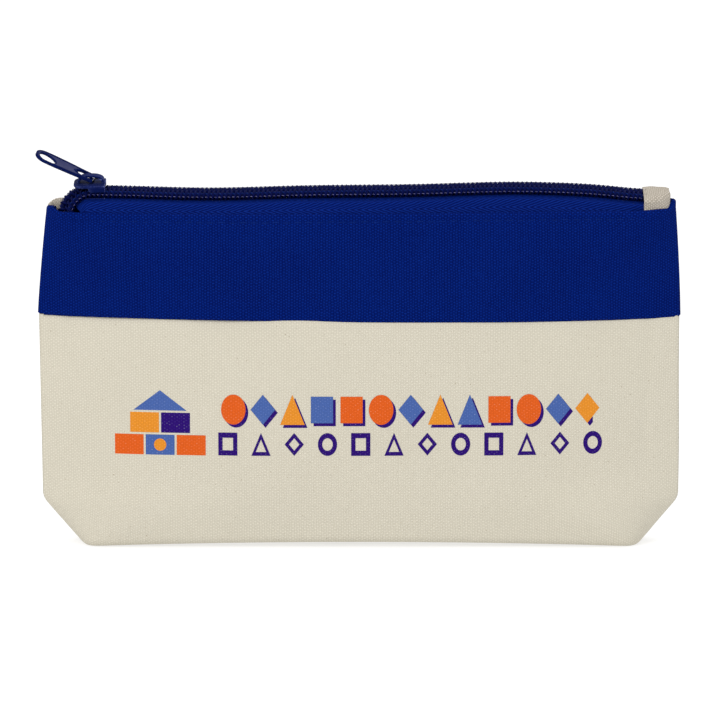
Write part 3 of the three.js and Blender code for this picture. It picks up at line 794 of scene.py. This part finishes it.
def filler_cord(name, side):
    s = np.arange(-CURL_LENGTH + 0.3, CHAIN_END - CURL_X - 0.3, 0.35)
    twist = s * 2 * math.pi / 1.3
    plies = []
    for ply in range(3):
        turn = twist + ply * 2 * math.pi / 3
        y = side * (CORD_MIDDLE[0] + parted(s) + CORD_SPREAD * np.cos(turn))
        plies.append(chain_point(s, y, CORD_MIDDLE[1] + CORD_SPREAD * np.sin(turn)))
    add_tubes(name, plies, CORD_PLY, CORD_THREAD, "filler_cord", 6)


def coil_stitching(name, side):
    """Two rows of thread, on the coil's top and outer side, that go over each turn and in between turns. The
    front coil's outer row takes a lighter thread as a painted glint; the rest is blue thread.
    """
    s = np.arange(-CURL_LENGTH + 1, TAB_START - 0.6, COIL_PITCH / 12)
    turn = 2 * math.pi * s / COIL_PITCH + (0 if side < 0 else math.pi)
    parts = Parts()
    for mark, (y, top, inward, dip) in enumerate(STITCH_ROWS):
        between = (1 - np.cos(turn)) / 2
        slant = 0.12 * np.sin(turn)
        height = top - dip * between - (0.25 if side > 0 else 0)
        path = chain_point(s, side * (y + parted(s) + slant - inward * between), height)
        # Only the front coil's outer row gets the lighter thread: a painted glint.
        parts.add(*tube_parts(path, 0.13, 6), mark if side < 0 else 0)
    shown(parts.piece(name, [BLUE_THREAD, PAINTED_GLINT_THREAD]), "pouch", "blue_thread", name)


for zip_name, zip_side in (("front", FRONT), ("back", BACK)):
    zip_tape(f"zip_tape_{zip_name}", zip_side)
    coil(f"zip_coil_{zip_name}", zip_side)
    filler_cord(f"coil_cord_{zip_name}", zip_side)
    coil_stitching(f"coil_stitching_{zip_name}", zip_side)

# --- Canvas tabs ---

tab_box = cad_box("zip_tab_right")
TAB_FOOT = tab_box[0][2]
LEFT_FOOT = TAB_FOOT - 5


def right_tab():
    """A strip folded over the chain's end, with its legs inside the bands."""
    over_share, arch = 0.6, 0.4            # how much of it lies over the chain, and how square its arch is
    left, right = tab_box[0][0] - 0.5, tab_box[1][0] - 0.9
    u = np.linspace(0, 1, 26)
    x = left + (right - left) * u
    grid = []
    for across in np.linspace(1, -1, 61):
        room = mouth_y(x, np.full_like(x, MOUTH_HEIGHT), 0.75)
        half = np.minimum(room / math.cos(ZIP_ROLL), 5.2)
        angle = min(abs(across) / over_share, 1) * math.pi / 2
        side = math.copysign(1, across)
        high = 2.2 - 0.15 * smooth_step(u, 0.85, 1) + 0.12 * ripples(x, 9 * across + 0 * x, 3, (6, 3.5))
        high = high - 0.35 * across * (1 - u) + 0.75 * u
        y = side * half * math.sin(angle) ** arch
        over = chain_point(x - CURL_X, y, high * max(math.cos(angle), 0) ** arch)
        over[:, 0] = x + 0.25 * ripples(np.full_like(x, across * 9), u, 8, (9, 5)) * (u > 0.5)
        if abs(across) > over_share:
            down = (abs(across) - over_share) / (1 - over_share)
            z = over[:, 2] + (TAB_FOOT - over[:, 2]) * down
            inside = mouth_y(x, z, 0.75)
            y = np.abs(over[:, 1]) + (inside - np.abs(over[:, 1])) * smooth_step(down, 0, 0.5)
            over = columns(over[:, 0], side * y, z)
        grid.append(over)
    middle = np.array(grid)[::-1]
    piece = add_sheet("zip_tab_right", middle, 0.8, TAB_CREAM, "pouch", "natural_canvas")


def left_tab():
    """A folded strip whose round top stands behind the open end of the chain."""
    leg = 0.36                             # how much of the strip is in each leg
    low, high = cad_box("zip_tab_left")
    x = np.linspace(low[0] + 0.3, high[0] - 0.3, 22)
    u = np.linspace(0, 1, 22)
    middle_y = mouth_y(x, np.full_like(x, TAB_FOOT), 0.9)
    middle_y = np.minimum(middle_y, high[1] - 0.8)
    top = high[2] - 2.1 - 2.2 * (1 - u) ** 3.5 - 0.3 * u**2
    grid = []
    for part in np.linspace(0, 1, 33):
        angle = np.clip((part - leg) / (1 - 2 * leg), 0, 1) * math.pi
        up = min(part / leg, (1 - part) / leg, 1)
        z = LEFT_FOOT + (top - LEFT_FOOT) * up + 0.55 * math.sin(angle)
        y = middle_y - 0.5 * math.cos(angle) + 0.1 * ripples(x, z, 6, (6, 4))
        grid.append(columns(x, y, z))
    piece = add_sheet("zip_tab_left", np.array(grid), 0.75, TAB_CREAM, "pouch", "natural_canvas")


right_tab()
left_tab()

# --- Slider and pull tab ---

SLIDER_ROLL = math.radians(14)
SLIDER_LIFT = 0.25
SLIDER_SHIFT = -0.9
PULL_ROLL = math.radians(22)
roll_cos, roll_sin = math.cos(SLIDER_ROLL), math.sin(SLIDER_ROLL)
slider_box = cad_box("slider_body")
SLIDER_X = (slider_box[0][0] + slider_box[1][0]) / 2 + SLIDER_SHIFT
REAR = (slider_box[1][0] - slider_box[0][0]) / 2
NOSE = -REAR
PLATE_LOW, PLATE_HIGH = 3.1, 4.0
BOTTOM_NARROWER = 0.78
FLANGE_FRONT = -0.3
PIVOT = np.array([SLIDER_X + 0.4, 0, 5.3])
PULL_ANGLE = math.radians(27.5)


def slider_place(points):
    """From the slider's own axes (height above the tapes) to the row frame."""
    points = np.asarray(points, float)
    x, y, z = points[:, 0], points[:, 1], points[:, 2]
    height = ZIP_HEIGHT + SLIDER_LIFT + y * roll_sin + z * roll_cos
    return columns(x, y * roll_cos - z * roll_sin, height)


def bezier(a, b, c, d, count=12):
    t = np.linspace(0, 1, count)[:, None]
    a, b, c, d = (np.array(p, float) for p in (a, b, c, d))
    return ((1 - t) ** 3 * a + 3 * (1 - t) ** 2 * t * b + 3 * (1 - t) * t * t * c + t**3 * d).tolist()


def slab_parts(loops, low, high, bevel):
    """A flat shape with rounded edges: loops[0] is its outline, and the others are holes.
    Returns points and faces, in the shape's own plane and from low to high."""
    data = bpy.data.curves.new("shape", "CURVE")
    data.dimensions = "2D"
    data.fill_mode = "BOTH"
    data.extrude = (high - low) / 2 - bevel
    data.bevel_depth = bevel
    data.offset = -bevel
    data.bevel_resolution = 2
    for loop in loops:
        spline = data.splines.new("POLY")
        spline.points.add(len(loop) - 1)
        spline.points.foreach_set("co", [c for p in loop for c in (p[0], p[1], 0, 1)])
        spline.use_cyclic_u = True
    holder = linked("shape", data)
    mesh = bpy.data.meshes.new_from_object(holder.evaluated_get(bpy.context.evaluated_depsgraph_get()))
    points = np.array([v.co[:] for v in mesh.vertices])
    points[:, 2] += (low + high) / 2
    faces = [tuple(f.vertices) for f in mesh.polygons]
    bpy.data.objects.remove(holder)
    bpy.data.curves.remove(data)
    bpy.data.meshes.remove(mesh)
    return points, faces


def add_hard_piece(name, shapes, place, materials, body):
    """Each shape is (points, faces, number of its material)."""
    parts = Parts()
    for shape in shapes:
        parts.add(*shape)
    piece = parts.piece(name, materials, place)
    weld = piece.modifiers.new("weld", "WELD")
    weld.merge_threshold = 0.00001
    smooth = piece.modifiers.new("edges", "EDGE_SPLIT")
    smooth.split_angle = math.radians(38)
    shown(piece, body, "slider_paint", name)


def plan_half_width(x):
    """The slider's plan: a round nose, wide where the coils part, narrower at its rear."""
    part = np.clip((x - NOSE) / 2.7, 0, 1)
    return 1.5 + 3.0 * np.sqrt(part * (2 - part)) - 0.4 * smooth_step(x, -0.5, REAR)


def plan_loop(start, end):
    x = start + (end - start) * np.linspace(0, 1, 26) ** 1.6
    upper = list(zip(x, plan_half_width(x)))
    return upper[::-1] + [(a, -b) for a, b in upper]


def flange_parts():
    """A side flange seen from outside, with a rounded lower front corner, bent to the plan."""
    front = FLANGE_FRONT
    corner = bezier((front, 3.4), (front, 2.4), (front + 0.3, 1.75), (front + 1.3, 1.7), 8)
    top = [(x, 3.75) for x in np.linspace(REAR, front, 14)]
    low = [(x, 1.7) for x in np.linspace(front + 1.9, REAR, 12)]
    points, faces = slab_parts([(corner + low + top)[::-1]], -0.4, 0.4, 0.16)
    x, z, out = points[:, 0], points[:, 1], points[:, 2]
    return columns(x, plan_half_width(x) - 0.4 + out, z), [f[::-1] for f in faces]


def slider_body():
    top = slab_parts([plan_loop(NOSE, REAR)], PLATE_LOW, PLATE_HIGH, 0.28)
    bottom = slab_parts([plan_loop(FLANGE_FRONT - 1, REAR - 0.1)], -1.4, -0.65, 0.2)
    bottom[0][:, 1] *= BOTTOM_NARROWER
    parts = [(*top, 0), (*bottom, 0)]
    for side in (FRONT, BACK):
        points, faces = flange_parts()
        points[:, 1] *= side
        faces = [f[::-1] for f in faces] if side < 0 else faces
        parts.append((points, faces, 0))
    wedge = [(-2.6, 0.0), (-1.6, 0.42), (0.4, 0.36), (1.0, 0.0), (0.4, -0.36), (-1.6, -0.42)]
    parts.append((*slab_parts([wedge], -0.8, PLATE_LOW + 0.3, 0.08), 0))
    ridge = [(NOSE + 0.9, 0.55), (-3.6, 0.8), (-3.4, 0.8), (-3.4, -0.8), (-3.6, -0.8), (NOSE + 0.9, -0.55)]
    parts.append((*slab_parts([ridge], PLATE_HIGH - 0.2, PLATE_HIGH + 0.25, 0.15), 0))
    place = lambda p: slider_place(p + np.array([SLIDER_X, 0, 0]))
    add_hard_piece("slider_body", parts, place, [ENAMEL], "slider")


def slider_bridge():
    """An arch of flat wire, seen from the side, with feet on the plate."""
    foot, high, wire = 4.5, 6.75, 0.8
    low, under = PLATE_HIGH - 0.05, high - wire
    outer = bezier((-foot, low), (-foot, high - 0.6), (-2.6, high), (-0.8, high))
    outer += bezier((0.8, high), (2.6, high), (foot, high - 0.6), (foot, low + 1))
    outer += [(foot + 0.5, low + 0.6), (foot + 0.6, low)]
    inner = bezier((foot - wire, low), (foot - wire, under - 0.5), (2, under), (0.6, under))
    inner += bezier((-0.6, under), (-2, under), (wire - foot, under - 0.5), (wire - foot, low))
    points, faces = slab_parts([outer + inner], -1.35, 1.35, 0.26)
    place = lambda p: slider_place(columns(p[:, 0] + PIVOT[0], -p[:, 2], p[:, 1]))
    add_hard_piece("slider_bridge", [(points, faces, 0)], place, [ENAMEL], "slider")


def slider_spring():
    """A leaf that lies on the plate, rises to a hump inside the bridge and comes down again."""
    x = np.linspace(-0.4, 4.3, 30)
    z = PLATE_HIGH + 0.35 + 1.15 * smooth_step(x, 0.6, 1.7) * (1 - smooth_step(x, 3.0, 4.2))
    y = np.linspace(-0.85, 0.85, 7)
    rows = [slider_place(columns(x + PIVOT[0], v, z - 0.1 * v * v)) for v in y]
    add_sheet("slider_lock_spring", np.array(rows), 0.3, STEEL, "slider", "spring_steel")


PULL_LENGTH = 20.3
PULL_HALF = 3.45
PULL_SHIFT = 0.3
EYE_HALF = 1.75


def pull_outline(inset=0.0):
    """Along the tab from its pivot bar. It widens a little towards its blunt outer end."""
    half, eye_half, end = PULL_HALF - inset, EYE_HALF + 0.9 - inset, PULL_LENGTH - inset
    side = bezier((-0.5 + inset, -eye_half), (3.5, -eye_half), (5, -half + 0.3), (11, -half + 0.1), 14)
    side += [(13, -half), (15, -half)]
    tip = bezier((16, -half), (18.9, -half), (end, -2.1), (end, 0), 16)
    loop = side + tip[1:]
    return loop + [(x, -y) for x, y in loop[-2::-1]]


def pull_drop(grow=0.0):
    """The hole near the tip: an oval, fuller and further back towards the tip."""
    middle, length, width = PULL_LENGTH - 4.3, 3.0 + grow, 2.3 + grow
    loop = []
    for angle in np.linspace(0, 2 * math.pi, 56, endpoint=False):
        along = math.cos(angle)
        across = width * math.sin(angle) * (1 + 0.12 * along) - 0.5 * (1 - along)
        loop.append((middle + length * along, across))
    return loop


def pull_eye(grow=0.0):
    """The opening round the bridge, with a pointed outer end."""
    half, left = EYE_HALF + grow, 0.5 - grow
    corner = bezier((2.7, half), (3.8, half), (5.0 + grow, 1.1), (5.5 + 1.2 * grow, 0), 9)
    loop = [(left, half)] + corner
    return loop + [(x, -y) for x, y in loop[-2::-1]]


def pull_tab():
    plate = slab_parts([pull_outline(0.4), pull_drop(0.12), pull_eye(0.15)], -0.34, 0.34, 0.05)
    rim = slab_parts([pull_outline(), pull_outline(0.75)], -0.56, 0.56, 0.24)
    drop_rim = slab_parts([pull_drop(0.42), pull_drop()], -0.42, 0.42, 0.16)
    neck = slab_parts([pull_eye(0.85), pull_eye()], -0.55, 0.55, 0.24)
    parts = [(*plate, 1), (*rim, 0), (*drop_rim, 0), (*neck, 0)]

    def place(points):
        along, across, thick = -points[:, 0], points[:, 1] + PULL_SHIFT, points[:, 2]
        x = along * math.cos(PULL_ANGLE) + thick * math.sin(PULL_ANGLE)
        z = -along * math.sin(PULL_ANGLE) + thick * math.cos(PULL_ANGLE)
        y = across * math.cos(PULL_ROLL) - z * math.sin(PULL_ROLL)
        z = across * math.sin(PULL_ROLL) + z * math.cos(PULL_ROLL)
        return columns(x, y, z) + slider_place([PIVOT])

    add_hard_piece("pull_tab", parts, place, [ENAMEL, ENAMEL_FACE], "puller")


slider_body()
slider_bridge()
slider_spring()
pull_tab()

# --- Overlocked seam edges, inside the case ---


def overlocked_edge(name, path, outward, width):
    """Two raw cloth edges laid together and wrapped in thread. path runs along the seam, and outward
    is the direction from the seam to the raw edge."""
    path = np.asarray(path, float)
    outward = np.asarray(outward, float)
    tangent = np.gradient(path, axis=0)
    tangent /= np.linalg.norm(tangent, axis=1, keepdims=True)
    normal = np.cross(tangent, outward)
    steps = np.linalg.norm(np.diff(path, axis=0), axis=1)
    run = np.concatenate([[0], np.cumsum(steps)])
    parts = Parts()
    for layer in (-0.29, 0.29):
        grid = np.array([path + normal * layer + outward * width * part for part in np.linspace(0, 0.9, 5)])
        points, faces, uv = sheet_parts(grid, 0.52)
        parts.add(points, faces, 0, uv)
    samples = np.arange(0.4, run[-1] - 0.4, 0.24)
    turn = samples * 2 * math.pi / 2.2
    spots = np.stack([np.interp(samples, run, path[:, i]) for i in range(3)], axis=1)
    normals = np.stack([np.interp(samples, run, normal[:, i]) for i in range(3)], axis=1)
    reach = (0.55 + 0.45 * np.cos(turn))[:, None]
    wrap = spots + outward * width * reach + normals * (0.66 * np.sin(turn))[:, None]
    points, faces = tube_parts(wrap, 0.1, 5)
    parts.add(points, faces, 1, np.zeros((len(points), 2)))
    shown(parts.piece(name, [CREAM, CREAM_THREAD]), "pouch", "natural_thread", name)


def inner_seams():
    for name, side in (("left", -1), ("right", 1)):
        z = np.linspace(20, 108, 60)
        half = np.where(z < BAND_BOTTOM, body_half(z), band_half(z))
        seam = columns(side * (half - 4.9), 0, z)
        overlocked_edge(f"side_seam_overlock_{name}", seam, (-side, 0, 0), 5.5)
        y = np.linspace(-6, 6, 12)
        seam = columns(side * 88.5, y, 2.0)
        overlocked_edge(f"corner_seam_overlock_{name}", seam, (-side, 0, 0), 5)
    x = np.linspace(-82, 82, 90)
    seam = columns(x, -2.8, 2.2 + bow(x, 0))
    overlocked_edge("bottom_seam_overlock", seam, (0, 1, 0), 5.5)
    for name, side in (("front", FRONT), ("back", BACK)):
        x = np.linspace(-96, 96, 110)
        depth = wall_y(x / BAND_HALF, BAND_BOTTOM + 3.0) - 2.9
        seam = columns(x, side * depth, BAND_BOTTOM + 0.2)
        overlocked_edge(f"band_seam_overlock_{name}", seam, (0, 0, 1), 6.5)


inner_seams()

# --- The print: generic shapes in four inks on the front panel ---

ORANGE, YELLOW = linear(216, 92, 30), linear(222, 140, 44)
SKY, PURPLE = linear(71, 98, 163), linear(42, 12, 108)
INKS = {"orange": ORANGE, "yellow": YELLOW, "sky": SKY, "purple": PURPLE}
ink_parts = {name: Parts() for name in INKS}


def polygon(corners, turn=0.0, grow=1.0):
    """A function that makes a regular shape's loop from its centre and its two radii."""
    angles = turn + np.arange(corners) * 2 * math.pi / corners

    def loop(centre, radii):
        wide, tall = radii[0] * grow, radii[1] * grow
        return columns(centre[0] + wide * np.cos(angles), centre[1] + tall * np.sin(angles))

    return loop


disc_loop, diamond_loop = polygon(40), polygon(4)
block_loop = polygon(4, math.pi / 4, math.sqrt(2))


def triangle_loop(centre, radii):
    x, z = centre
    return np.array([(x - radii[0], z - radii[1]), (x + radii[0], z - radii[1]), (x, z + radii[1])])


def dense(loop, step=0.5):
    """More points along a loop's straight sides, so that it can follow the cloth."""
    points = []
    for a, b in zip(loop, np.roll(loop, -1, axis=0)):
        count = max(int(np.linalg.norm(b - a) / step), 1)
        points += [a + (b - a) * i / count for i in range(count)]
    return np.array(points)


def front_place(flat, lift):
    """Places print coordinates (x, z) on the front panel's outer face."""
    x, z = flat[:, 0], flat[:, 1]
    across = 2 * x - leaned(x, z)

    def depth(u, v):
        share = u / body_half(v)
        return wall_y(share, v) + panel_wrinkles(share, v, FRONT)

    step = 0.3
    slope_x = (depth(across + step, z) - depth(across - step, z)) / (2 * step)
    slope_z = (depth(across, z + step) - depth(across, z - step)) / (2 * step)
    normal = columns(slope_x, -1.0, slope_z)
    normal /= np.linalg.norm(normal, axis=1, keepdims=True)
    middle = columns(x, -depth(across, z), z + bow(x, z))
    return middle + normal * (CANVAS_THICK / 2 + lift)


def filled(name, loop, lift=0.07, hole=0.0):
    """Adds a filled shape, or a ring when hole is its inner share of the size."""
    loop = dense(loop)
    centre = loop.mean(axis=0)
    rings = np.linspace(1, hole, 6) if hole else np.linspace(1, 0.001, 10)
    flat = np.concatenate([centre + (loop - centre) * ring for ring in rings])
    faces = grid_faces(len(rings), len(loop), closed=True, flip=True)
    ink_parts[name].add(front_place(flat, lift), faces, 0, flat)


def print_emblem():
    """A pile of toy blocks: three below, two on them and a roof on top."""
    left, right, low, high = -82.4, -51, 30.6, 53.2
    width, height = (right - left) / 3, (high - low) / 3
    middle = (left + right) / 2
    gap = 0.35
    size = (width / 2 - gap, height / 2 - gap)
    for i, name in enumerate(("orange", "sky", "orange")):
        filled(name, block_loop((left + width * (i + 0.5), low + height / 2), size))
    for i, name in enumerate(("yellow", "purple")):
        filled(name, block_loop((middle + width * (i - 0.5), low + height * 1.5), size))
    filled("sky", triangle_loop((middle, low + height * 2.5), (width * 0.86, height / 2 - gap)))
    filled("yellow", disc_loop((middle, low + height / 2), (2.1, 2.1)), 0.1)


def print_rows():
    shapes = (disc_loop, block_loop, triangle_loop, diamond_loop)
    inks = ("orange", "sky", "yellow", "sky", "orange")
    left, right = -46.8, 81.6
    count = 13
    pitch = (right - left) / count
    for i in range(count):
        middle = left + pitch * (i + 0.5)
        shape = shapes[(i * 3 + i // 4) % 4]
        size = (4.1, 5.1) if shape is not block_loop else (3.7, 4.5)
        filled("purple", shape((middle + 0.75, 45.7), size), 0.05)
        filled(inks[i % 5], shape((middle - 0.15, 46.7), size), 0.09)
    count = 12
    pitch = (right - left) / (count - 0.45)
    for i in range(count):
        middle = left + 2.9 + pitch * i
        shape = shapes[(i * 5 + 1) % 4]
        filled("purple", shape((middle, 34.95), (3.2, 3.9)), 0.07, hole=0.55)


print_emblem()
print_rows()
for ink_name, parts in ink_parts.items():
    material = ink(f"ink_{ink_name}", INKS[ink_name])
    shown(parts.piece(f"print_{ink_name}", [material]), "pouch", "natural_canvas")
